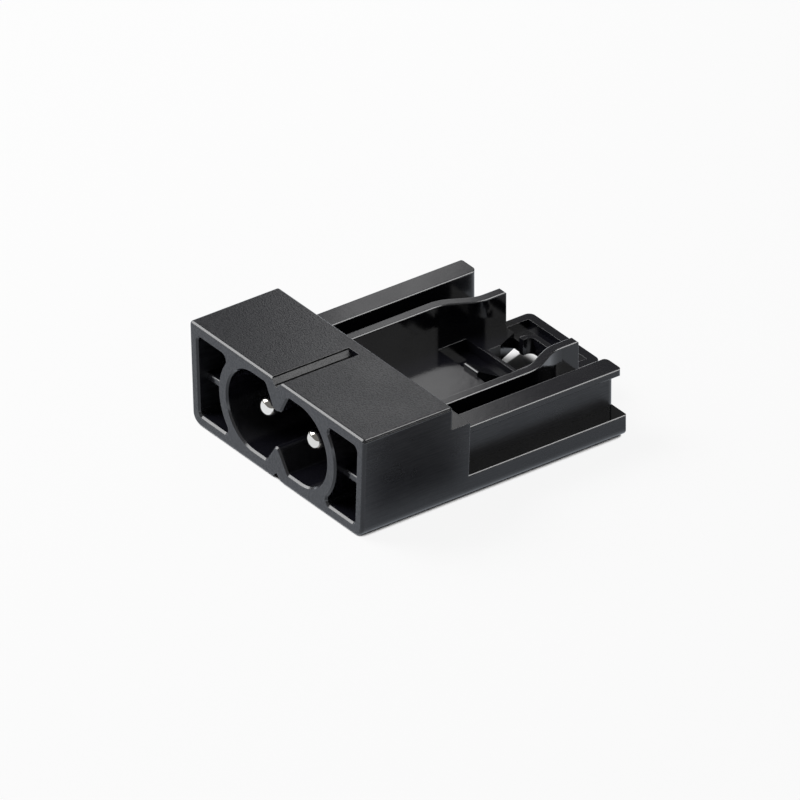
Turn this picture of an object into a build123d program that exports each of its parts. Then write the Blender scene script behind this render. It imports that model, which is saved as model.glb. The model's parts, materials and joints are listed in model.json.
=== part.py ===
from build123d import *
from math import radians, tan
import os

# Slide-in appliance inlet with two round pins, in millimetres.
# X runs to the right seen from the inlet face, Y from the inlet face to the rear, Z up.
# Lengths along Y are counted from the inlet face and moved to the middle at the end.

# Contacts
pin_pitch = 8.6
pin_diameter = 2.4
pin_setback = 1.4
pin_tail = 4.6
pin_tip_round = 0.85
pin_tail_chamfer = 0.3
waist_diameter = 1.8

# Figure-eight recess and the walls round it
recess_radius = 4.8
top_wall = 1.3
bottom_wall = 1.7
back_wall = 1.5
recess_wall = 1.6
key_base = 4.1
top_key_half_angle = 28.5
top_key_round = 1.0
bottom_key_half_angle = 34.5
bottom_key_round = 0.7
key_root_round = 0.4
mouth_chamfer = 0.22

# Front block
block_width = 32.0
block_depth = 11.95
side_lean = 2.4
bottom_round = 1.4
top_round = 0.45
front_round = 0.38
rear_round = 0.25
groove_depth = 0.95

# Pockets beside the recess
side_wall = 1.35
pocket_top_wall = 1.44
pocket_bottom_wall = 1.4
pocket_round = 0.6
rib_drop = 0.55
rib_thickness = 0.75
rib_setback = 1.2
rib_round = 0.25

# Bosses that hold the contacts behind the block
boss_diameter = 5.2
boss_length = 1.0

# Ledges and rails
ledge_drop = 2.8
ledge_length = 2.4
rail_length = 21.5
rail_height = 8.3
flange_height = 2.97
channel_depth = 2.73
web_thickness = 1.67
lip_reach = 1.3
lip_thickness = 0.88
rail_edge_round = 0.18
flange_corner_round = 0.3
lip_corner_round = 0.45
wall_end_round = 0.78

# Tray plate and guide arms
plate_height = 4.3
plate_thickness = 2.0
arm_gap = 2.39
arm_thickness = 1.24
arm_straight = 16.5
arm_bend_length = 3.7
arm_draw_in = 2.03
arm_setback = 0.28
arm_bend_round = 4.5
arm_edge_round = 0.18

# Trough with the latch catch
trough_length = 3.9
trough_depth = 1.35
trough_floor = 1.1
catch_width = 2.4
catch_rise = 0.75
catch_length = 3.4
catch_round = 0.25

# Rear tongue with the latch opening
tongue_reach = 3.45
tongue_inset = 0.73
tongue_corner_round = 0.9
tongue_edge_round = 0.15
rim_width = 1.2
dish_depth = 0.7
dish_lap = 0.47
bar_thickness = 0.42
opening_width = 5.25
opening_straight = 1.75
flare_length = 2.8
flare_width = 1.25
hoop_width = 4.8
hoop_lap = 0.15
hoop_depth = 1.5
hoop_thickness = 0.7
hoop_round = 1.05

# Places that follow from the sizes above
pin_radius = pin_diameter / 2
pin_height = bottom_wall + recess_radius
recess_top = pin_height + recess_radius
block_height = recess_top + top_wall
recess_depth = block_depth - back_wall
pin_end = block_depth + pin_tail
boss_end = block_depth + boss_length
ledge_height = block_height - ledge_drop
rail_start = block_depth + ledge_length
rail_end = rail_start + rail_length
web_outer = block_width / 2 - channel_depth
wall_inner = web_outer - web_thickness
lip_outer = web_outer + lip_reach
arm_centre = wall_inner - arm_gap - arm_thickness / 2
arm_tip_centre = arm_centre - arm_draw_in
arm_bend_start = block_depth + arm_straight
arm_bend_end = arm_bend_start + arm_bend_length
arm_end = rail_end - arm_setback
plate_bottom = plate_height - plate_thickness
tongue_half_width = arm_tip_centre + arm_thickness / 2 - tongue_inset
tongue_end = rail_end + tongue_reach
dish_start = arm_end - dish_lap
dish_end = tongue_end - rim_width
dish_half_width = tongue_half_width - rim_width
opening_half_width = opening_width / 2
flare_half_width = opening_half_width + flare_width
opening_start = dish_start - flare_length - opening_straight
trough_end = opening_start - bar_thickness
trough_start = trough_end - trough_length
hoop_half_width = hoop_width / 2
hoop_start = dish_start - hoop_lap
hoop_rear = hoop_start + hoop_depth

# Small excess that carries cuts and joints past the faces they meet
excess = 0.5


def along_y(outline, start, end):
    """Carries an outline drawn in X and Z from one distance behind the inlet face to another."""
    plane = Plane(origin=(0, end, 0), x_dir=(1, 0, 0), z_dir=(0, -1, 0))
    return extrude(plane * outline, amount=end - start)


def along_z(outline, start, end):
    """Carries a plan drawn in X and Y from one height to another."""
    return extrude(Plane.XY.offset(start) * outline, amount=end - start)


def polygon(points):
    """Closes a row of points to a flat face."""
    return make_face(Polyline(*points, close=True))


def rectangle(x0, x1, y0, y1):
    """Gives the flat face between two values on each axis."""
    return Pos((x0 + x1) / 2, (y0 + y1) / 2) * Rectangle(x1 - x0, y1 - y0)


def corners_at(sketch, points):
    """Finds the corners of a flat face that lie at the given points."""
    found = []
    for x, y in points:
        found.append(sketch.vertices().sort_by_distance((x, y, 0))[0])
    return found


def both_sides(solid):
    """Adds the mirror image of a solid on the other side of the centre plane."""
    return [solid, mirror(solid, about=Plane.YZ)]


def side_at(height):
    """Half width of the leaning sides at a height."""
    return block_width / 2 - (block_height - height) * tan(radians(side_lean))


def recess_key(half_angle, tip_round):
    """Gives the outline of a key that points down into the recess from its top."""
    slope = tan(radians(half_angle))
    tip = recess_top - key_base / 2 / slope
    outline = polygon(
        [
            (-key_base / 2 - excess * slope, recess_top + excess),
            (key_base / 2 + excess * slope, recess_top + excess),
            (0, tip),
        ]
    )
    return fillet(corners_at(outline, [(0, tip)]), tip_round)


# Contact: a turned pin with a waist that the moulding grips
pin_profile = polygon(
    [
        (0, pin_setback),
        (pin_radius, pin_setback),
        (pin_radius, recess_depth),
        (waist_diameter / 2, recess_depth),
        (waist_diameter / 2, boss_end),
        (pin_radius, boss_end),
        (pin_radius, pin_end),
        (0, pin_end),
    ]
)
pin_profile = fillet(corners_at(pin_profile, [(pin_radius, pin_setback)]), pin_tip_round)
pin_profile = chamfer(corners_at(pin_profile, [(pin_radius, pin_end)]), pin_tail_chamfer)
contact = revolve(pin_profile, axis=Axis.Y)
contact_right = Pos(pin_pitch / 2, 0, pin_height) * contact
contact_left = Pos(-pin_pitch / 2, 0, pin_height) * contact

# Front block with leaning sides
block_outline = polygon(
    [
        (-side_at(0), 0),
        (side_at(0), 0),
        (side_at(block_height), block_height),
        (-side_at(block_height), block_height),
    ]
)
block_outline = fillet(block_outline.vertices().group_by(Axis.Y)[0], bottom_round)
block_outline = fillet(block_outline.vertices().group_by(Axis.Y)[-1], top_round)
block = along_y(block_outline, 0, block_depth)
block = fillet(block.faces().sort_by(Axis.Y)[0].edges(), front_round)

# Figure-eight recess with a key at the top and at the bottom
key = recess_key(top_key_half_angle, top_key_round)
key_below = recess_key(bottom_key_half_angle, bottom_key_round)
key_below = mirror(key_below, about=Plane.XZ.offset(-pin_height))
recess = Pos(0, pin_height) * SlotCenterToCenter(pin_pitch, 2 * recess_radius)
recess = recess - key - key_below
key_roots = [
    (-key_base / 2, recess_top),
    (key_base / 2, recess_top),
    (-key_base / 2, bottom_wall),
    (key_base / 2, bottom_wall),
]
recess = fillet(corners_at(recess, key_roots), key_root_round)
block -= along_y(recess, 0, recess_depth)

# Pockets beside the recess, each divided by a rib
pocket_top = block_height - pocket_top_wall
pocket = polygon(
    [
        (pin_pitch / 2, pocket_bottom_wall),
        (side_at(pocket_bottom_wall) - side_wall, pocket_bottom_wall),
        (side_at(pocket_top) - side_wall, pocket_top),
        (pin_pitch / 2, pocket_top),
    ]
)
pocket -= Pos(pin_pitch / 2, pin_height) * Circle(recess_radius + recess_wall)
pocket = fillet(pocket.vertices(), pocket_round)
rib_height = pin_height - rib_drop
rib = rectangle(0, block_width / 2, rib_height - rib_thickness / 2, rib_height + rib_thickness / 2)
rib_solid = along_y(rib, rib_setback, recess_depth)
rib_front = rib_solid.edges().filter_by(Axis.X).group_by(Axis.Y)[0]
rib_solid = fillet(rib_front.sort_by(Axis.Z)[-1], rib_round)
pocket_space = along_y(pocket, 0, recess_depth) - rib_solid
block -= both_sides(pocket_space)

# Grooves in the top and in the underside
groove = polygon(
    [
        (-groove_depth - excess, block_height + excess),
        (groove_depth + excess, block_height + excess),
        (0, block_height - groove_depth),
    ]
)
groove_below = mirror(groove, about=Plane.XZ.offset(-block_height / 2))
block -= along_y(groove, 0, recess_depth)
block -= along_y(groove_below, 0, recess_depth)

# Edges of the openings in the inlet face
front_face = block.faces().sort_by(Axis.Y)[0]
mouth_edges = [edge for wire in front_face.inner_wires() for edge in wire.edges()]
block = chamfer(mouth_edges, mouth_chamfer)

# Ledges and rails flush with the sides of the block
ledge = block_outline & rectangle(wall_inner, block_width, 0, ledge_height)
rail = polygon(
    [
        (wall_inner, 0),
        (side_at(0), 0),
        (side_at(flange_height), flange_height),
        (web_outer, flange_height),
        (web_outer, rail_height - lip_thickness),
        (lip_outer, rail_height - lip_thickness),
        (lip_outer, rail_height),
        (wall_inner, rail_height),
    ]
)
rail = fillet(corners_at(rail, [(side_at(0), 0)]), bottom_round)
rail_edges = [
    (side_at(flange_height), flange_height),
    (lip_outer, rail_height - lip_thickness),
    (lip_outer, rail_height),
    (wall_inner, rail_height),
]
rail = fillet(corners_at(rail, rail_edges), rail_edge_round)
flange_side = side_at(flange_height)
flange_plan = rectangle(wall_inner, flange_side, rail_start, rail_end)
flange_plan = fillet(corners_at(flange_plan, [(flange_side, rail_end)]), flange_corner_round)
lip_plan = rectangle(wall_inner, lip_outer, rail_start, rail_end)
lip_plan = fillet(corners_at(lip_plan, [(lip_outer, rail_end)]), lip_corner_round)
rail_middle = (flange_height + rail_height) / 2
rail_envelope = along_z(flange_plan, 0, rail_middle) + along_z(lip_plan, rail_middle, rail_height)
rail_solid = along_y(rail, rail_start, rail_end) & rail_envelope

# Rounded rear end of the rail's wall, outside between flange and lip and inside above the plate
wall_end = rail_end - wall_end_round
outer_corner = rectangle(web_outer - wall_end_round, block_width / 2, wall_end, rail_end)
outer_corner -= Pos(web_outer - wall_end_round, wall_end) * Circle(wall_end_round)
inner_corner = rectangle(wall_inner - excess, wall_inner + wall_end_round, wall_end, rail_end)
inner_corner -= Pos(wall_inner + wall_end_round, wall_end) * Circle(wall_end_round)
rail_solid -= along_z(outer_corner, flange_height, rail_height - lip_thickness)
rail_solid -= along_z(inner_corner, plate_height, rail_height)
housing = block + both_sides(along_y(ledge, block_depth, rail_start)) + both_sides(rail_solid)

# Tray plate between the rails, and the rounded rear edge of the block above it
plate_plan = rectangle(-wall_inner, wall_inner, block_depth, rail_end)
housing += along_z(plate_plan, plate_bottom, plate_height)
at_rear = housing.edges().filter_by(Axis.X).filter_by_position(Axis.Y, block_depth, block_depth)
housing = fillet(at_rear.sort_by(Axis.Z)[-1], rear_round)

# Guide arms that draw in towards the rear, rounded along their tops
arm_path = FilletPolyline(
    (arm_centre, block_depth - excess),
    (arm_centre, arm_bend_start),
    (arm_tip_centre, arm_bend_end),
    (arm_tip_centre, arm_end),
    radius=arm_bend_round,
)
arm = along_z(trace(arm_path, line_width=arm_thickness), plate_bottom, rail_height)
arm = fillet(arm.faces().sort_by(Axis.Z)[-1].edges(), arm_edge_round)

# Rear tongue: the plate runs on between the arms and ends in a rimmed dish
tongue_plan = rectangle(-tongue_half_width, tongue_half_width, trough_end, tongue_end)
rear_corners = [(-tongue_half_width, tongue_end), (tongue_half_width, tongue_end)]
tongue_plan = fillet(corners_at(tongue_plan, rear_corners), tongue_corner_round)
tongue = along_z(tongue_plan, plate_bottom, plate_height)
tongue = fillet(tongue.faces().sort_by(Axis.Z)[-1].edges(), tongue_edge_round)
housing += tongue
dish = rectangle(-dish_half_width, dish_half_width, dish_start, dish_end)
housing -= along_z(dish, plate_height - dish_depth, plate_height)
housing += both_sides(arm)

# Trough in front of the tongue, with the latch catch on its floor
trough_base = plate_height - trough_depth
trough_under = trough_base - trough_floor
arm_inner = arm_tip_centre - arm_thickness / 2
trough_wall = trough_floor
trough_shell = rectangle(-arm_inner, arm_inner, trough_start - trough_wall, trough_end + trough_wall)
housing += along_z(trough_shell, trough_under, plate_bottom + excess)
trough_plan = rectangle(-arm_inner, arm_inner, trough_start, trough_end)
housing -= along_z(trough_plan, trough_base, plate_height)
catch_top = plate_height + catch_rise
catch_profile = polygon(
    [
        (trough_start - excess, trough_base - excess),
        (trough_start - excess, plate_height - excess),
        (trough_start, plate_height - excess),
        (trough_start, catch_top),
        (trough_start + catch_length, trough_base),
        (trough_start + catch_length, trough_base - excess),
    ]
)
catch_profile = fillet(corners_at(catch_profile, [(trough_start, catch_top)]), catch_round)
catch_plane = Plane(origin=(-catch_width / 2, 0, 0), x_dir=(0, 1, 0), z_dir=(1, 0, 0))
housing += extrude(catch_plane * catch_profile, amount=catch_width)

# Latch opening through the tongue, with a hoop standing in its rear end
opening = polygon(
    [
        (-opening_half_width, opening_start),
        (opening_half_width, opening_start),
        (opening_half_width, opening_start + opening_straight),
        (flare_half_width, dish_start),
        (hoop_half_width, dish_start),
        (hoop_half_width, hoop_rear),
        (-hoop_half_width, hoop_rear),
        (-hoop_half_width, dish_start),
        (-flare_half_width, dish_start),
        (-opening_half_width, opening_start + opening_straight),
    ]
)
hoop_corners = [(hoop_half_width, hoop_rear), (-hoop_half_width, hoop_rear)]
opening = fillet(corners_at(opening, hoop_corners), hoop_round)
hoop_path = FilletPolyline(
    (hoop_half_width, hoop_start),
    (hoop_half_width, hoop_rear),
    (-hoop_half_width, hoop_rear),
    (-hoop_half_width, hoop_start),
    radius=hoop_round,
)
housing -= along_z(opening, 0, plate_height)
housing += along_z(trace(hoop_path, line_width=hoop_thickness), plate_bottom, plate_height)

# Bosses behind the block, and the moulding closed round the contacts
boss = along_y(Circle(boss_diameter / 2), block_depth - excess, boss_end)
for side in (-1, 1):
    housing += Pos(side * pin_pitch / 2, 0, pin_height) * boss
housing -= [contact_left, contact_right]

# One file for each piece, with the middle of the length at Y zero
to_middle = Pos(0, -tongue_end / 2, 0)
os.makedirs("parts", exist_ok=True)
export_step(to_middle * housing, "parts/housing.step")
export_step(to_middle * contact_left, "parts/contact_pin_left.step")
export_step(to_middle * contact_right, "parts/contact_pin_right.step")
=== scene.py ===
import json
import logging
import math
from dataclasses import dataclass, field
from enum import Enum
from typing import Any

import bpy
import numpy as np
from mathutils import Matrix, Vector

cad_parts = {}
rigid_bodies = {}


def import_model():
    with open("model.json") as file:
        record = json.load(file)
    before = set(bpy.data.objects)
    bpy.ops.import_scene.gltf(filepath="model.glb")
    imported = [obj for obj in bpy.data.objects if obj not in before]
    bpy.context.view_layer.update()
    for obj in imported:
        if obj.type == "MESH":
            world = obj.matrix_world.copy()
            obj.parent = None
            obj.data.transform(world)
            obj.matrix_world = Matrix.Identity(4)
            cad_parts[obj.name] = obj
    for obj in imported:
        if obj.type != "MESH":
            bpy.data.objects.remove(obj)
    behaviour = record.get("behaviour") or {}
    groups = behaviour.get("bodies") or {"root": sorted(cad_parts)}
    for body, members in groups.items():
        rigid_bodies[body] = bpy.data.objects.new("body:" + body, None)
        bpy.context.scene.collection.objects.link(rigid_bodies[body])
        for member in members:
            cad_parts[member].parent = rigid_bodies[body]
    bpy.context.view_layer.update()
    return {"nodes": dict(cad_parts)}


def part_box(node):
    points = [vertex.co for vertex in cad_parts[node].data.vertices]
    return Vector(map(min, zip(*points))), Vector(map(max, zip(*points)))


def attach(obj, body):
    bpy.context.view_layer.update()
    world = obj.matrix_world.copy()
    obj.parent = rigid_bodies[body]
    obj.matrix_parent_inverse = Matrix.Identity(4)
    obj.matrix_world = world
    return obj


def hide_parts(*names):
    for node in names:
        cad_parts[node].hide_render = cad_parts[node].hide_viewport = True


for leftover in list(bpy.data.objects):
    bpy.data.objects.remove(leftover)
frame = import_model()

MM = 0.001
SLOPE = math.sqrt(0.5)
WHITE = (1.0, 1.0, 1.0)
log = logging.getLogger("inlet")

Socket = Any
Colour = tuple[float, float, float]
Point = tuple[float, float, float]
# The two values between which a ramp goes from 0 to 1.
Span = tuple[float, float]


class Way(Enum):
    """The ways that the faces of the moulding look."""

    UP = (0.0, 0.0, 1.0)
    FRONT = (0.0, -1.0, 0.0)
    LEFT = (-1.0, 0.0, 0.0)
    RIGHT = (1.0, 0.0, 0.0)
    UP_LEFT = (-SLOPE, 0.0, SLOPE)
    UP_RIGHT = (SLOPE, 0.0, SLOPE)


class Slot(Enum):
    """The material slots of the part."""

    PLASTIC = "black_plastic"
    NICKEL = "nickel_plate"


class Web:
    """A node tree with short ways to add nodes and to link them."""

    def __init__(self, tree: bpy.types.NodeTree) -> None:
        """Keeps the tree.

        Args:
            tree: the shader tree that the nodes go into.
        """
        self.tree = tree

    def feed(self, socket: Socket, value: Any) -> None:
        """Links a socket to a value that is a socket, or sets it to a plain value.

        Args:
            socket: the input to be fed.
            value: an output socket, a number, a colour or a vector.
        """
        if isinstance(value, bpy.types.NodeSocket):
            self.tree.links.new(value, socket)
        else:
            socket.default_value = value

    def node(self, kind: str, inputs: dict[Any, Any] | None = None, **settings: Any) -> bpy.types.Node:
        """Adds a node.

        Args:
            kind: the node's type name without its shader prefix.
            inputs: what each input gets, by name or number.
            settings: attributes of the node.

        Returns:
            The new node.
        """
        made = self.tree.nodes.new("ShaderNode" + kind)
        for name, value in settings.items():
            setattr(made, name, value)
        for key, value in (inputs or {}).items():
            self.feed(made.inputs[key], value)
        return made

    def math(self, operation: str, *values: Any, clamp: bool = False) -> Socket:
        """Adds a Math node over one to three values.

        Args:
            operation: the Math node's operation.
            values: sockets or numbers.
            clamp: whether the result is held between 0 and 1.

        Returns:
            The result's socket.
        """
        made = self.node("Math", dict(enumerate(values)), operation=operation, use_clamp=clamp)
        return made.outputs[0]

    def ramp(self, value: Socket, low: float, high: float) -> Socket:
        """Carries a value smoothly from 0 at low to 1 at high, where low may be the larger number.

        Args:
            value: the socket that is mapped.
            low: the value that gives 0.
            high: the value that gives 1.

        Returns:
            The mapped value's socket.
        """
        inputs = {0: value, 1: low, 2: high}
        return self.node("MapRange", inputs, interpolation_type="SMOOTHSTEP").outputs[0]

    def blend(self, mask: Socket, low: Any, high: Any) -> Socket:
        """Mixes two numbers by a mask.

        Args:
            mask: 0 gives low and 1 gives high.
            low: a socket or a number.
            high: a socket or a number.

        Returns:
            The mixed number's socket.
        """
        return self.node("Mix", {0: mask, 2: low, 3: high}, data_type="FLOAT").outputs[0]

    def tint(self, mask: Socket, low: Any, high: Any) -> Socket:
        """Mixes two colours by a mask.

        Args:
            mask: 0 gives low and 1 gives high.
            low: a socket or a colour.
            high: a socket or a colour.

        Returns:
            The mixed colour's socket.
        """
        colours = [c if isinstance(c, bpy.types.NodeSocket) else (*c, 1.0) for c in (low, high)]
        return self.node("Mix", {0: mask, 6: colours[0], 7: colours[1]}, data_type="RGBA").outputs[2]

    def bump(self, height: Socket, normal: Socket) -> Socket:
        """Bends a normal by a relief.

        Args:
            height: the relief in metres.
            normal: the normal before the relief.

        Returns:
            The bent normal's socket.
        """
        inputs = {"Height": height, "Normal": normal, "Strength": 1.0, "Distance": 1.0}
        return self.node("Bump", inputs).outputs[0]

    def place(self, group: bpy.types.NodeTree, **inputs: Any) -> bpy.types.Node:
        """Places a node group and feeds its inputs.

        Args:
            group: the group.
            inputs: values by input name.

        Returns:
            The group's node.
        """
        made = self.tree.nodes.new("ShaderNodeGroup")
        made.node_tree = group
        for name, value in inputs.items():
            self.feed(made.inputs[name], value)
        return made


class Effect:
    """A shader node group that several finishes use."""

    def __init__(self, name: str, inputs: dict[str, str], outputs: dict[str, str]) -> None:
        """Makes the empty group with its sockets.

        Args:
            name: the group's name.
            inputs: the kind of each input, by name.
            outputs: the kind of each output, by name.
        """
        self.group = bpy.data.node_groups.new(name, "ShaderNodeTree")
        for side, sockets in (("INPUT", inputs), ("OUTPUT", outputs)):
            for label, kind in sockets.items():
                self.group.interface.new_socket(label, in_out=side, socket_type="NodeSocket" + kind)
        self.web = Web(self.group)
        self.given = self.group.nodes.new("NodeGroupInput").outputs
        self.result = self.group.nodes.new("NodeGroupOutput").inputs


@dataclass
class Effects:
    """The node groups: grain, draw lines, rounded edges and faces that look one way."""

    grain_detail: float = 2.0
    grain_rough: float = 0.6
    pit_span: Span = (0.05, 0.6)
    pit_share: float = 0.4
    tone_scale: float = 0.035
    tone_detail: float = 3.0
    tone_span: Span = (0.35, 0.65)
    line_detail: float = 3.0
    line_rough: float = 0.65
    edge_samples: int = 6
    edge_reach: float = 1.5
    outer_span: Span = (0.98, 0.80)
    turn_span: Span = (0.99, 0.80)
    facing_span: Span = (0.94, 0.985)

    def __post_init__(self) -> None:
        """Builds each group once."""
        self.grain = self._grain()
        self.lines = self._lines()
        self.edges = self._edges()
        self.facing = self._facing()

    def _grain(self) -> bpy.types.NodeTree:
        """Builds the pitted grain that spark erosion leaves in a mould.

        Two octaves of noise are crossed with the distance to scattered cell centres, which gives small
        pits with soft rims between them. Tone varies over a much larger cell.

        Returns:
            The group, with Vector and Cell in, and Height and Tone out.
        """
        made = Effect(
            "pitted_grain",
            {"Vector": "Vector", "Cell": "Float"},
            {"Height": "Float", "Tone": "Float"},
        )
        web = made.web
        at = made.given["Vector"]
        scale = web.math("DIVIDE", 1.0, made.given["Cell"])
        speckle = {"Vector": at, "Scale": scale, "Detail": self.grain_detail, "Roughness": self.grain_rough}
        fine = web.node("TexNoise", speckle).outputs["Fac"]
        pits = web.node("TexVoronoi", {"Vector": at, "Scale": scale}).outputs["Distance"]
        depth = web.ramp(pits, *self.pit_span)
        web.feed(made.result["Height"], web.math("MULTIPLY_ADD", depth, self.pit_share, fine))
        broad = web.math("MULTIPLY", scale, self.tone_scale)
        cloud = web.node("TexNoise", {"Vector": at, "Scale": broad, "Detail": self.tone_detail})
        web.feed(made.result["Tone"], web.ramp(cloud.outputs["Fac"], *self.tone_span))
        return made.group

    def _lines(self) -> bpy.types.NodeTree:
        """Builds fine lines along one direction, as polishing or turning leaves them.

        The coordinates are divided by a long and a short length before noise is read, so the noise is
        drawn out along the direction that has the long length.

        Returns:
            The group, with Vector and Stretch in, and Height out.
        """
        made = Effect("drawn_lines", {"Vector": "Vector", "Stretch": "Vector"}, {"Height": "Float"})
        web = made.web
        lengths = {0: made.given["Vector"], 1: made.given["Stretch"]}
        drawn = web.node("VectorMath", lengths, operation="DIVIDE").outputs[0]
        strands = {"Vector": drawn, "Scale": 1.0, "Detail": self.line_detail, "Roughness": self.line_rough}
        web.feed(made.result["Height"], web.node("TexNoise", strands).outputs["Fac"])
        return made.group

    def _edges(self) -> bpy.types.NodeTree:
        """Builds the slightly rounded, polished edges that handling and moulding leave.

        The normal is averaged over a small radius. Only outer edges take it: there, rays sent into the
        material come out again within a short reach, and at inner corners they don't. The mask is how
        far the normal turns away from the face's own.

        Returns:
            The group, with Radius in, and Normal and Mask out.
        """
        made = Effect("rounded_edges", {"Radius": "Float"}, {"Normal": "Vector", "Mask": "Float"})
        web = made.web
        count = self.edge_samples
        radius = made.given["Radius"]
        soft = web.node("Bevel", {"Radius": radius}, samples=count).outputs[0]
        flat = web.node("NewGeometry").outputs["Normal"]
        reach = {"Distance": web.math("MULTIPLY", radius, self.edge_reach)}
        thin = web.node("AmbientOcclusion", reach, samples=count, inside=True, only_local=True)
        outer = web.ramp(thin.outputs["AO"], *self.outer_span)
        eased = web.node("Mix", {0: outer, 4: flat, 5: soft}, data_type="VECTOR").outputs[1]
        rounded = web.node("VectorMath", {0: eased}, operation="NORMALIZE").outputs[0]
        turn = web.node("VectorMath", {0: rounded, 1: flat}, operation="DOT_PRODUCT").outputs["Value"]
        web.feed(made.result["Normal"], rounded)
        web.feed(made.result["Mask"], web.ramp(turn, *self.turn_span))
        return made.group

    def _facing(self) -> bpy.types.NodeTree:
        """Builds a mask of the faces that look along a direction.

        Returns:
            The group, with Direction in, and Mask out.
        """
        made = Effect("facing", {"Direction": "Vector"}, {"Mask": "Float"})
        web = made.web
        pair = {0: web.node("NewGeometry").outputs["Normal"], 1: made.given["Direction"]}
        along = web.node("VectorMath", pair, operation="DOT_PRODUCT").outputs["Value"]
        web.feed(made.result["Mask"], web.ramp(along, *self.facing_span))
        return made.group


def new_material(name: str) -> tuple[bpy.types.Material, Web, bpy.types.Node]:
    """Makes a material with an empty Principled shader.

    Args:
        name: the material's name.

    Returns:
        The material, its node tree and its shader node.
    """
    made = bpy.data.materials.new(name)
    made.use_nodes = True
    made.node_tree.nodes.clear()
    web = Web(made.node_tree)
    shader = web.node("BsdfPrincipled")
    out = web.node("OutputMaterial")
    web.feed(out.inputs["Surface"], shader.outputs[0])
    return made, web, shader


@dataclass(frozen=True)
class MouldedPlastic:
    """Black injection-moulded plastic.

    The mould's outer top and front are spark-eroded and give a matte grain, its flanks are drawn and
    give fine lines along the length, the rails' tops are satin, and the rest is polished.
    """

    colour: Colour = (0.0078, 0.0078, 0.0112)
    # Lighter colour of rounded edges: partly wear, partly a painted highlight.
    worn_and_highlit: Colour = (0.024, 0.0244, 0.028)
    scuffed: Colour = (0.026, 0.0267, 0.031)
    flecked: Colour = (0.034, 0.035, 0.039)
    refraction: float = 1.5
    grain_cell: float = 0.21 * MM
    grain_height: float = 0.019 * MM
    sparkle: float = 0.4
    line_width: float = 0.13 * MM
    line_length: float = 3.2 * MM
    line_height: float = 0.004 * MM
    peel_cell: float = 0.9 * MM
    peel_height: float = 0.004 * MM
    edge_radius: float = 0.13 * MM
    edge_gloss: float = 0.6
    edge_refraction: float = 2.0
    groove_step: float = 0.12 * MM
    groove_lip: float = 12.5 * MM
    groove_root: float = 11.86 * MM
    groove_fade: float = 0.07 * MM
    rough_grain: float = 0.31
    rough_line: float = 0.26
    rough_polish: float = 0.10
    rough_edge: float = 0.16
    rough_satin: float = 0.20
    rail_top: float = 8.1 * MM
    block_top: float = 11.3 * MM
    inlet_face: float = -19.3 * MM
    flanks_from: float = 13.0 * MM
    zone_fade: float = 0.1 * MM
    lean_from_upright: Span = (0.10, 0.30)
    lean_from_level: Span = (0.975, 0.93)
    fleck_span: Span = (0.68, 0.95)
    streak_span: Span = (0.35, 0.65)
    rough_vary: float = 0.05

    def zones(self, web: Web, effects: Effects, place: Socket) -> dict[str, Socket]:
        """Finds how the mould was finished.

        Grain covers the block's top with its groove, and the inlet face. Lines cover the faces that look
        to the sides on the outer flanks. The rails' tops are satin. Rounded edges are what leans
        between upright and level; they take a lighter colour, partly wear and partly a painted highlight.

        Args:
            web: the material's tree.
            effects: the shared node groups.
            place: the Object coordinates.

        Returns:
            The masks of grain, groove, lines, satin and round edges.
        """

        def facing(way: Way) -> Socket:
            """Places the mask of the faces that look one way."""
            return web.place(effects.facing, Direction=way.value).outputs["Mask"]

        fade = self.zone_fade
        where = web.node("SeparateXYZ", {0: place}).outputs
        normal = web.node("SeparateXYZ", {0: web.node("NewGeometry").outputs["Normal"]}).outputs
        upward = facing(Way.UP)
        grooved = web.math("MAXIMUM", facing(Way.UP_RIGHT), facing(Way.UP_LEFT))
        sideways = web.math("MAXIMUM", facing(Way.RIGHT), facing(Way.LEFT))
        on_block = web.ramp(where["Z"], self.block_top - fade, self.block_top + fade)
        on_rails = web.ramp(where["Z"], self.rail_top - fade, self.rail_top + fade)
        on_front = web.ramp(where["Y"], self.inlet_face + fade, self.inlet_face - fade)
        aside = web.math("ABSOLUTE", where["X"])
        outer = web.ramp(aside, self.flanks_from - fade, self.flanks_from + fade)
        top = web.math("MULTIPLY", web.math("MAXIMUM", upward, grooved), on_block)
        grained = web.math("MAXIMUM", top, web.math("MULTIPLY", facing(Way.FRONT), on_front))
        not_upright = web.ramp(normal["Z"], *self.lean_from_upright)
        not_level = web.ramp(normal["Z"], *self.lean_from_level)
        leaning = web.math("MULTIPLY", not_upright, not_level)
        return {
            "grain": grained,
            "groove": web.math("MULTIPLY", grooved, on_block),
            "lines": web.math("MULTIPLY", sideways, outer),
            "satin": web.math("MULTIPLY", upward, on_rails),
            "round": web.math("SUBTRACT", leaning, grained, clamp=True),
        }

    def steps(self, web: Web, place: Socket) -> Socket:
        """Works out the relief of the groove's flanks: a small step at the lip and another at the root.

        Args:
            web: the material's tree.
            place: the Object coordinates.

        Returns:
            The height's socket.
        """
        height = web.node("SeparateXYZ", {0: place}).outputs["Z"]
        fade = self.groove_fade
        levels = [web.ramp(height, z - fade, z + fade) for z in (self.groove_lip, self.groove_root)]
        return web.math("MULTIPLY", web.math("ADD", *levels), self.groove_step)

    def dress(self, effects: Effects) -> bpy.types.Material:
        """Builds the material.

        Args:
            effects: the shared node groups.

        Returns:
            The plastic's material.
        """
        made, web, shader = new_material(Slot.PLASTIC.value)
        place = web.node("TexCoord").outputs["Object"]
        grain = web.place(effects.grain, Vector=place, Cell=self.grain_cell).outputs
        peel = web.place(effects.grain, Vector=place, Cell=self.peel_cell).outputs
        stretch = (self.line_width, self.line_length, self.line_width)
        lines = web.place(effects.lines, Vector=place, Stretch=stretch).outputs
        edges = web.place(effects.edges, Radius=self.edge_radius).outputs
        zone = self.zones(web, effects, place)
        bright = web.math("MAXIMUM", zone["round"], edges["Mask"])

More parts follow.
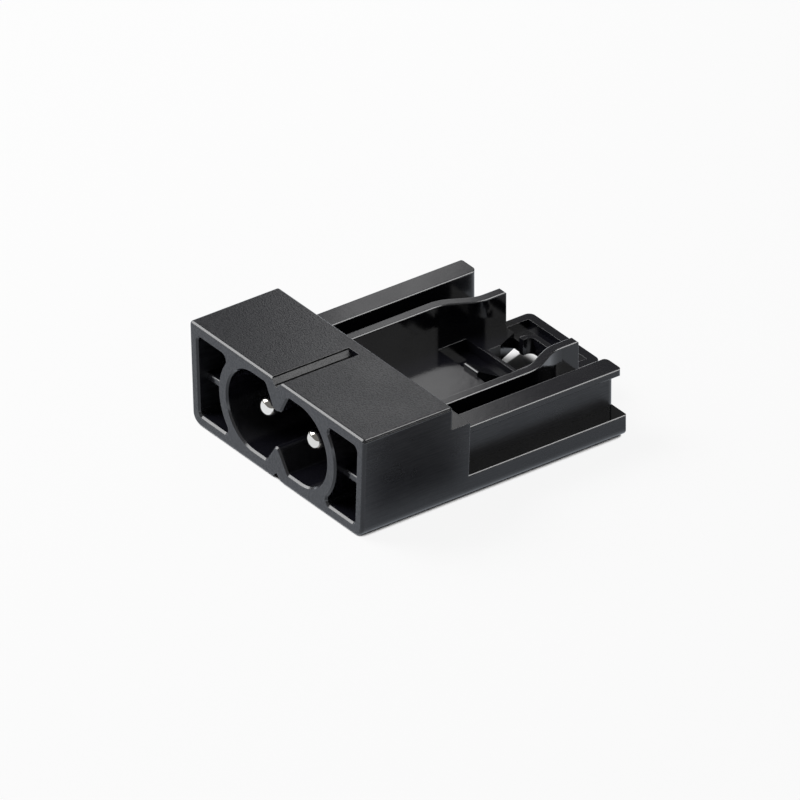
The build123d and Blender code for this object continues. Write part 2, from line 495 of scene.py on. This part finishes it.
        fleck = web.math("MULTIPLY", web.ramp(grain["Height"], *self.fleck_span), zone["grain"])
        streak = web.math("MULTIPLY", web.ramp(lines["Height"], *self.streak_span), zone["lines"])
        # Rounded edges get a lighter colour here: partly wear, partly a painted highlight.
        grained = web.tint(fleck, web.tint(bright, self.colour, self.worn_and_highlit), self.flecked)
        web.feed(shader.inputs["Base Color"], web.tint(streak, grained, self.scuffed))

        plain = web.blend(zone["satin"], self.rough_polish, self.rough_satin)
        plain = web.blend(zone["lines"], web.blend(zone["grain"], plain, self.rough_grain), self.rough_line)
        varied = web.math("MULTIPLY_ADD", grain["Tone"], self.rough_vary, plain)
        web.feed(shader.inputs["Roughness"], web.blend(bright, varied, self.rough_edge))
        web.feed(shader.inputs["Coat Weight"], web.math("MULTIPLY", bright, self.edge_gloss))

        pitted = web.math("MULTIPLY", grain["Height"], self.grain_height)
        pitted = web.math("ADD", pitted, web.math("MULTIPLY", zone["groove"], self.steps(web, place)))
        streaked = web.math("MULTIPLY", lines["Height"], self.line_height)
        wavy = web.math("MULTIPLY", peel["Height"], self.peel_height)
        frosted = web.math("MULTIPLY", grain["Height"], self.grain_height * self.sparkle)
        polished = web.blend(zone["round"], wavy, frosted)
        relief = web.blend(zone["lines"], web.blend(zone["grain"], polished, pitted), streaked)
        web.feed(shader.inputs["Normal"], web.bump(relief, edges["Normal"]))
        shader.inputs["IOR"].default_value = self.refraction
        shader.inputs["Coat IOR"].default_value = self.edge_refraction
        shader.inputs["Coat Roughness"].default_value = self.rough_edge
        return made


@dataclass(frozen=True)
class NickelPlate:
    """Bright nickel on a turned pin: turning lines round the shaft and a soft peel."""

    colour: Colour = (0.93, 0.90, 0.84)
    dull: Colour = (0.80, 0.77, 0.71)
    peel_cell: float = 0.25 * MM
    peel_height: float = 0.0012 * MM
    ring_width: float = 0.06 * MM
    ring_length: float = 3.0 * MM
    ring_height: float = 0.0006 * MM
    edge_radius: float = 0.06 * MM
    rough_low: float = 0.02
    rough_rings: float = 0.10

    def dress(self, effects: Effects) -> bpy.types.Material:
        """Builds the material.

        Args:
            effects: the shared node groups.

        Returns:
            The nickel's material.
        """
        made, web, shader = new_material(Slot.NICKEL.value)
        place = web.node("TexCoord").outputs["Object"]
        peel = web.place(effects.grain, Vector=place, Cell=self.peel_cell).outputs
        stretch = (self.ring_length, self.ring_width, self.ring_length)
        rings = web.place(effects.lines, Vector=place, Stretch=stretch).outputs
        edges = web.place(effects.edges, Radius=self.edge_radius).outputs
        web.feed(shader.inputs["Base Color"], web.tint(peel["Tone"], self.colour, self.dull))
        rough = web.math("MULTIPLY_ADD", rings["Height"], self.rough_rings, self.rough_low)
        web.feed(shader.inputs["Roughness"], rough)
        wavy = web.math("MULTIPLY", peel["Height"], self.peel_height)
        relief = web.math("ADD", wavy, web.math("MULTIPLY", rings["Height"], self.ring_height))
        web.feed(shader.inputs["Normal"], web.bump(relief, edges["Normal"]))
        shader.inputs["Metallic"].default_value = 1.0
        return made


@dataclass
class Housing:
    """The moulding, which keeps its solid and gets its finish here."""

    node: str = "housing"
    finish: MouldedPlastic = field(default_factory=MouldedPlastic)

    def dress(self, effects: Effects) -> bpy.types.Object:
        """Gives the moulding its plastic.

        Args:
            effects: the shared node groups.

        Returns:
            The moulding's object.
        """
        body = frame["nodes"][self.node]
        body.data.materials.clear()
        body.data.materials.append(self.finish.dress(effects))
        return body


@dataclass
class ContactPin:
    """A turned pin with a domed nose, a waist in the moulding and a chamfered tail."""

    node: str
    material: bpy.types.Material
    nose_round: float = 0.85 * MM
    shaft_length: float = 9.05 * MM
    waist_radius: float = 0.9 * MM
    waist_length: float = 2.5 * MM
    tail_chamfer: float = 0.3 * MM
    around: int = 96
    nose_rings: int = 25
    run_rings: int = 8
    sharp_degrees: float = 35.0

    def profile(self, radius: float, start: float, end: float) -> np.ndarray:
        """Works out the pin's outline from nose to tail.

        The nose is a quarter circle of nose_round between a small flat and the shaft, then come the
        shaft, the waist and the tail with its chamfer. Each straight stretch is divided evenly.

        Args:
            radius: the shaft's radius.
            start: where the nose begins along Y.
            end: where the tail ends along Y.

        Returns:
            An array of radius and Y, one row for each ring.
        """
        turn = np.linspace(0.0, math.pi / 2, self.nose_rings)
        nose = np.column_stack(
            (
                radius - self.nose_round + self.nose_round * np.sin(turn),
                start + self.nose_round - self.nose_round * np.cos(turn),
            )
        )
        shaft_end = start + self.shaft_length
        waist_end = shaft_end + self.waist_length
        corners = np.array(
            [
                (radius, start + self.nose_round),
                (radius, shaft_end),
                (self.waist_radius, shaft_end),
                (self.waist_radius, waist_end),
                (radius, waist_end),
                (radius, end - self.tail_chamfer),
                (radius - self.tail_chamfer, end),
            ]
        )
        share = np.linspace(0.0, 1.0, self.run_rings + 1)[1:, None]
        runs = corners[:-1, None, :] + (corners[1:, None, :] - corners[:-1, None, :]) * share[None, :, :]
        return np.vstack((nose, runs.reshape(-1, 2)))

    def surface(
        self, outline: np.ndarray, centre: tuple[float, float]
    ) -> tuple[np.ndarray, list[list[int]]]:
        """Turns an outline about the pin's axis.

        A point is x = cx + r cos(t), y, z = cz + r sin(t) for each ring of radius r and each angle t. The
        two end rings are closed by a fan to a point on the axis.

        Args:
            outline: radius and Y of each ring.
            centre: the axis in X and Z.

        Returns:
            The points, and the faces as rows of point numbers.
        """
        rings = len(outline)
        angle = np.linspace(0.0, 2 * math.pi, self.around, endpoint=False)
        x = centre[0] + outline[:, :1] * np.cos(angle)
        z = centre[1] + outline[:, :1] * np.sin(angle)
        y = np.broadcast_to(outline[:, 1:], x.shape)
        grid = np.stack((x, y, z), axis=-1).reshape(-1, 3)
        poles = np.array([(centre[0], outline[0, 1], centre[1]), (centre[0], outline[-1, 1], centre[1])])
        number = np.arange(rings * self.around).reshape(rings, self.around)
        ahead = np.roll(number, -1, axis=1)
        quads = np.stack((number[:-1], ahead[:-1], ahead[1:], number[1:]), axis=-1).reshape(-1, 4)
        first, last = rings * self.around, rings * self.around + 1
        fan = np.stack((ahead[0], number[0], np.full(self.around, first)), axis=-1)
        tail = np.stack((number[-1], ahead[-1], np.full(self.around, last)), axis=-1)
        return np.vstack((grid, poles)), quads.tolist() + fan.tolist() + tail.tolist()

    def build(self) -> bpy.types.Object:
        """Makes the pin in place of its solid.

        Returns:
            The pin's object.
        """
        low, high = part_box(self.node)
        radius = (high.x - low.x) / 2
        outline = self.profile(radius, low.y, high.y)
        points, faces = self.surface(outline, ((low.x + high.x) / 2, (low.z + high.z) / 2))
        mesh = bpy.data.meshes.new(self.node + "_turned")
        mesh.from_pydata(points.tolist(), [], faces)
        mesh.shade_smooth()
        mesh.set_sharp_from_angle(angle=math.radians(self.sharp_degrees))
        mesh.materials.append(self.material)
        piece = bpy.data.objects.new(self.node + "_turned", mesh)
        bpy.context.scene.collection.objects.link(piece)
        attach(piece, "root")
        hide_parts(self.node)
        return piece


@dataclass(frozen=True)
class Softbox:
    """A flat soft lamp that points at the middle of the part.

    mirrored says whether reflections show it, and lights whether it lights matte surfaces.
    """

    name: str
    towards: Point
    distance: float
    width: float
    height: float
    radiance: float
    mirrored: bool = True
    lights: bool = True

    def light(self, middle: Vector) -> bpy.types.Object:
        """Hangs the lamp.

        Args:
            middle: the point that the lamp points at.

        Returns:
            The lamp's object.
        """
        data = bpy.data.lights.new(self.name, "AREA")
        data.shape = "RECTANGLE"
        data.size = self.width
        data.size_y = self.height
        data.energy = self.radiance * math.pi * self.width * self.height
        lamp = bpy.data.objects.new(self.name, data)
        lamp.visible_camera = False
        lamp.visible_glossy = self.mirrored
        lamp.visible_diffuse = self.lights
        way = Vector(self.towards).normalized()
        turn = way.to_track_quat("Z", "Y")
        lamp.matrix_world = Matrix.Translation(middle + way * self.distance) @ turn.to_matrix().to_4x4()
        bpy.context.scene.collection.objects.link(lamp)
        return lamp


@dataclass
class Studio:
    """A pale floor under a light tent, with soft lamps."""

    floor_side: float = 3.0
    floor_level: float = -0.03 * MM
    floor_roughness: float = 0.9
    floor_colour: Colour = (0.80, 0.80, 0.80)
    white_share: float = 0.91
    mirror_share: float = 0.74
    mirror_tint: Colour = (0.90, 0.96, 1.05)
    flank_face: float = 16.0 * MM
    flank_height_per_reach: float = 0.752
    flank_shift_per_reach: float = 0.741
    # A patch of painted shade on the floor that only mirrors show: its level, its near edge as a height on
    # the flank, its ends along the flank and its fade.
    painted_shade_level: float = 0.12
    painted_shade_near: float = 2.2 * MM
    painted_shade_front: float = -18.3 * MM
    painted_shade_rear: float = -6.0 * MM
    painted_shade_fade: float = 1.6 * MM
    tent_mirrored: float = 0.16
    tent_light: float = 0.07
    shade_samples: int = 16
    shade_reach: float = 20.0 * MM
    shade_full: float = 0.18
    shade_none: float = 0.34
    strip_left: float = -4.75 * MM
    strip_right: float = 3.0 * MM
    strip_widens: float = 14.5 * MM
    strip_spread: float = 0.306
    strip_front: float = 10.0 * MM
    strip_rear: float = 19.0 * MM
    strip_fade: float = 0.15 * MM
    strip_soft: float = 1.6 * MM
    # Painted shade: the dark colour of the floor's strip under the tongue.
    strip_shade_colour: Colour = (0.25, 0.25, 0.25)
    lamps: tuple[Softbox, ...] = (
        Softbox(
            "lamp_key",
            (-0.55, -0.40, 0.73),
            distance=0.6,
            width=0.25,
            height=0.25,
            radiance=8.0,
            mirrored=False,
        ),
        Softbox("lamp_left", (-0.687, -0.42, 0.59), distance=0.45, width=0.40, height=0.40, radiance=3.0),
        Softbox(
            "lamp_rear_right",
            (0.516, 0.51, 0.686),
            distance=0.45,
            width=0.26,
            height=0.26,
            radiance=3.6,
            lights=False,
        ),
        Softbox(
            "lamp_behind",
            (0.0, 0.51, 0.86),
            distance=0.45,
            width=0.20,
            height=0.20,
            radiance=2.5,
            lights=False,
        ),
        Softbox(
            "lamp_strip",
            (-0.699, 0.493, 0.517),
            distance=0.12,
            width=0.018,
            height=0.16,
            radiance=1.35,
        ),
    )

    def shown(self, web: Web, seen: float, mirrored: float) -> Socket:
        """Weighs the rays that show the background: the camera's own, mirrored ones and passed ones.

        Args:
            web: the tree that the node goes into.
            seen: the weight of the camera's own rays.
            mirrored: the weight of mirrored and passed rays.

        Returns:
            The weight's socket, which is 0 for all other rays.
        """
        ray = web.node("LightPath").outputs
        passed = web.math("MAXIMUM", ray["Is Glossy Ray"], ray["Is Transmission Ray"])
        return web.math("MULTIPLY_ADD", ray["Is Camera Ray"], seen, web.math("MULTIPLY", passed, mirrored))

    def outside_strip(self, web: Web) -> Socket:
        """Gives 0 on a strip of floor under the tongue, which widens towards the rear, and 1 around it.

        The floor paints shade on the strip, a dark colour and none of its white, so that the latch
        opening looks deep.

        Args:
            web: the floor's tree.

        Returns:
            The mask's socket.
        """
        where = web.node("SeparateXYZ", {0: web.node("TexCoord").outputs["Object"]}).outputs
        past = web.math("MAXIMUM", web.math("SUBTRACT", where["Y"], self.strip_widens), 0.0)
        across = web.math("MULTIPLY_ADD", past, self.strip_spread, where["X"])
        fade = self.strip_fade
        soft = self.strip_soft
        left = web.ramp(across, self.strip_left + fade, self.strip_left - fade)
        right = web.ramp(where["X"], self.strip_right - soft, self.strip_right)
        behind = web.ramp(where["Y"], self.strip_rear - soft, self.strip_rear)
        ahead = web.ramp(where["Y"], self.strip_front, self.strip_front - soft)
        return web.math("MAXIMUM", web.math("MAXIMUM", left, right), web.math("MAXIMUM", behind, ahead))

    def open_floor(self, web: Web) -> Socket:
        """Gives 1 where the floor lies open and falls to 0 under the part, where little sky is in reach.

        Args:
            web: the floor's tree.

        Returns:
            The mask's socket.
        """
        sky = web.node("AmbientOcclusion", {"Distance": self.shade_reach}, samples=self.shade_samples)
        return web.ramp(sky.outputs["AO"], self.shade_full, self.shade_none)

    def mirrored_painted_shade(self, web: Web) -> Socket:
        """Works out the floor's white, with a patch of painted shade beside the block that only mirrors
        show.

        The patch is a painted reflection of shadow that keeps the block's right flank dark. It is cut as
        the flank mirrors it: a point of the floor belongs to a height on the flank and to a place along it.

        Args:
            web: the floor's tree.

        Returns:
            The strength's socket: the painted shade's level on the patch for mirrored rays, and 1
            elsewhere.
        """
        where = web.node("SeparateXYZ", {0: web.node("TexCoord").outputs["Object"]}).outputs
        outward = web.math("SUBTRACT", where["X"], self.flank_face)
        height = web.math("MULTIPLY", outward, self.flank_height_per_reach)
        along = web.math("MULTIPLY_ADD", outward, -self.flank_shift_per_reach, where["Y"])
        fade = self.painted_shade_fade
        on_painted_shade = web.math(
            "MULTIPLY",
            web.ramp(height, self.painted_shade_near - fade, self.painted_shade_near + fade),
            web.math(
                "MULTIPLY",
                web.ramp(along, self.painted_shade_front - fade, self.painted_shade_front + fade),
                web.ramp(along, self.painted_shade_rear + fade, self.painted_shade_rear - fade),
            ),
        )
        mirrored = self.shown(web, 0.0, 1.0)
        return web.blend(web.math("MULTIPLY", on_painted_shade, mirrored), 1.0, self.painted_shade_level)

    def floor(self) -> bpy.types.Object:
        """Lays the floor, which keeps the shadow and fades to white around it.

        Returns:
            The floor's object.
        """
        half = self.floor_side / 2
        level = self.floor_level
        corners = [(-half, -half, level), (half, -half, level), (half, half, level), (-half, half, level)]
        mesh = bpy.data.meshes.new("floor")
        mesh.from_pydata(corners, [], [(0, 1, 2, 3)])
        made, web, shader = new_material("floor_paper")
        clear = self.outside_strip(web)
        # Painted shade: the strip under the tongue gets a dark colour here and, below, none of the floor's
        # white.
        web.feed(shader.inputs["Base Color"], web.tint(clear, self.strip_shade_colour, self.floor_colour))
        shader.inputs["Roughness"].default_value = self.floor_roughness
        shader.inputs["Specular IOR Level"].default_value = 0.0
        tint = web.tint(self.shown(web, 0.0, 1.0), WHITE, self.mirror_tint)
        white = web.node("Emission", {"Color": tint, "Strength": self.mirrored_painted_shade(web)})
        weight = self.shown(web, self.white_share, self.mirror_share)
        share = web.math("MULTIPLY", weight, web.math("MULTIPLY", clear, self.open_floor(web)))
        mixed = web.node("MixShader", {0: share, 1: shader.outputs[0], 2: white.outputs[0]})
        out = next(n for n in made.node_tree.nodes if n.type == "OUTPUT_MATERIAL")
        web.feed(out.inputs["Surface"], mixed.outputs[0])
        mesh.materials.append(made)
        piece = bpy.data.objects.new("floor", mesh)
        bpy.context.scene.collection.objects.link(piece)
        return piece

    def tent(self) -> None:
        """Sets the tent's even light, which mirrors show a little brighter than it lights."""
        world = bpy.data.worlds.new("tent")
        world.use_nodes = True
        world.node_tree.nodes.clear()
        web = Web(world.node_tree)
        strength = web.blend(self.shown(web, 1.0, 1.0), self.tent_light, self.tent_mirrored)
        sky = web.node("Background", {"Color": (*WHITE, 1.0), "Strength": strength})
        out = web.node("OutputWorld")
        web.feed(out.inputs["Surface"], sky.outputs[0])
        bpy.context.scene.world = world

    def build(self, middle: Vector) -> None:
        """Sets up floor, tent and lamps.

        Args:
            middle: the point that the lamps point at.
        """
        log.info("stage %s", self.floor().name)
        self.tent()
        for lamp in self.lamps:
            log.info("lamp %s", lamp.light(middle).name)


@dataclass(frozen=True)
class PhotoCamera:
    """The photograph's view: far away and long, so that edges stay nearly parallel."""

    azimuth: float = 53.41
    elevation: float = 31.0
    pixels_per_mm: float = 9.196
    frame_pixels: int = 800
    aim_mm: Point = (0.0, -0.175, 6.3)
    aim_pixel: tuple[float, float] = (420.65, 375.34)
    distance: float = 1.96
    sensor_width: float = 36.0
    far_limit: float = 10.0

    def build(self) -> bpy.types.Object:
        """Places the camera so that the aimed point falls on its pixel.

        Returns:
            The camera's object.
        """
        turn, lift = math.radians(self.azimuth), math.radians(self.elevation)
        right = np.array((math.cos(turn), math.sin(turn), 0.0))
        up = np.array((-math.sin(turn) * math.sin(lift), math.cos(turn) * math.sin(lift), math.cos(lift)))
        back = np.array((math.sin(turn) * math.cos(lift), -math.cos(turn) * math.cos(lift), math.sin(lift)))
        middle = self.frame_pixels / 2
        across = (middle - self.aim_pixel[0]) / self.pixels_per_mm
        down = (middle - self.aim_pixel[1]) / self.pixels_per_mm
        target = (np.array(self.aim_mm) + right * across - up * down) * MM
        data = bpy.data.cameras.new("camera")
        data.sensor_width = self.sensor_width
        data.lens = self.sensor_width * self.distance * self.pixels_per_mm / MM / self.frame_pixels
        data.clip_end = self.far_limit
        eye = bpy.data.objects.new("camera", data)
        place = target + back * self.distance
        eye.matrix_world = Matrix(
            [
                (right[0], up[0], back[0], place[0]),
                (right[1], up[1], back[1], place[1]),
                (right[2], up[2], back[2], place[2]),
                (0.0, 0.0, 0.0, 1.0),
            ]
        )
        bpy.context.scene.collection.objects.link(eye)
        bpy.context.scene.camera = eye
        return eye


def main() -> None:
    """Dresses the part and sets up its stage."""
    logging.basicConfig(level=logging.INFO, format="%(name)s: %(message)s")
    bpy.context.scene.view_settings.view_transform = "Standard"
    effects = Effects()
    log.info("piece %s", Housing().dress(effects).name)
    nickel = NickelPlate().dress(effects)
    for node in ("contact_pin_left", "contact_pin_right"):
        log.info("piece %s", ContactPin(node, nickel).build().name)
    low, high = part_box("housing")
    Studio().build((low + high) / 2)
    log.info("view %s", PhotoCamera().build().name)


if __name__ == "__main__":
    main()
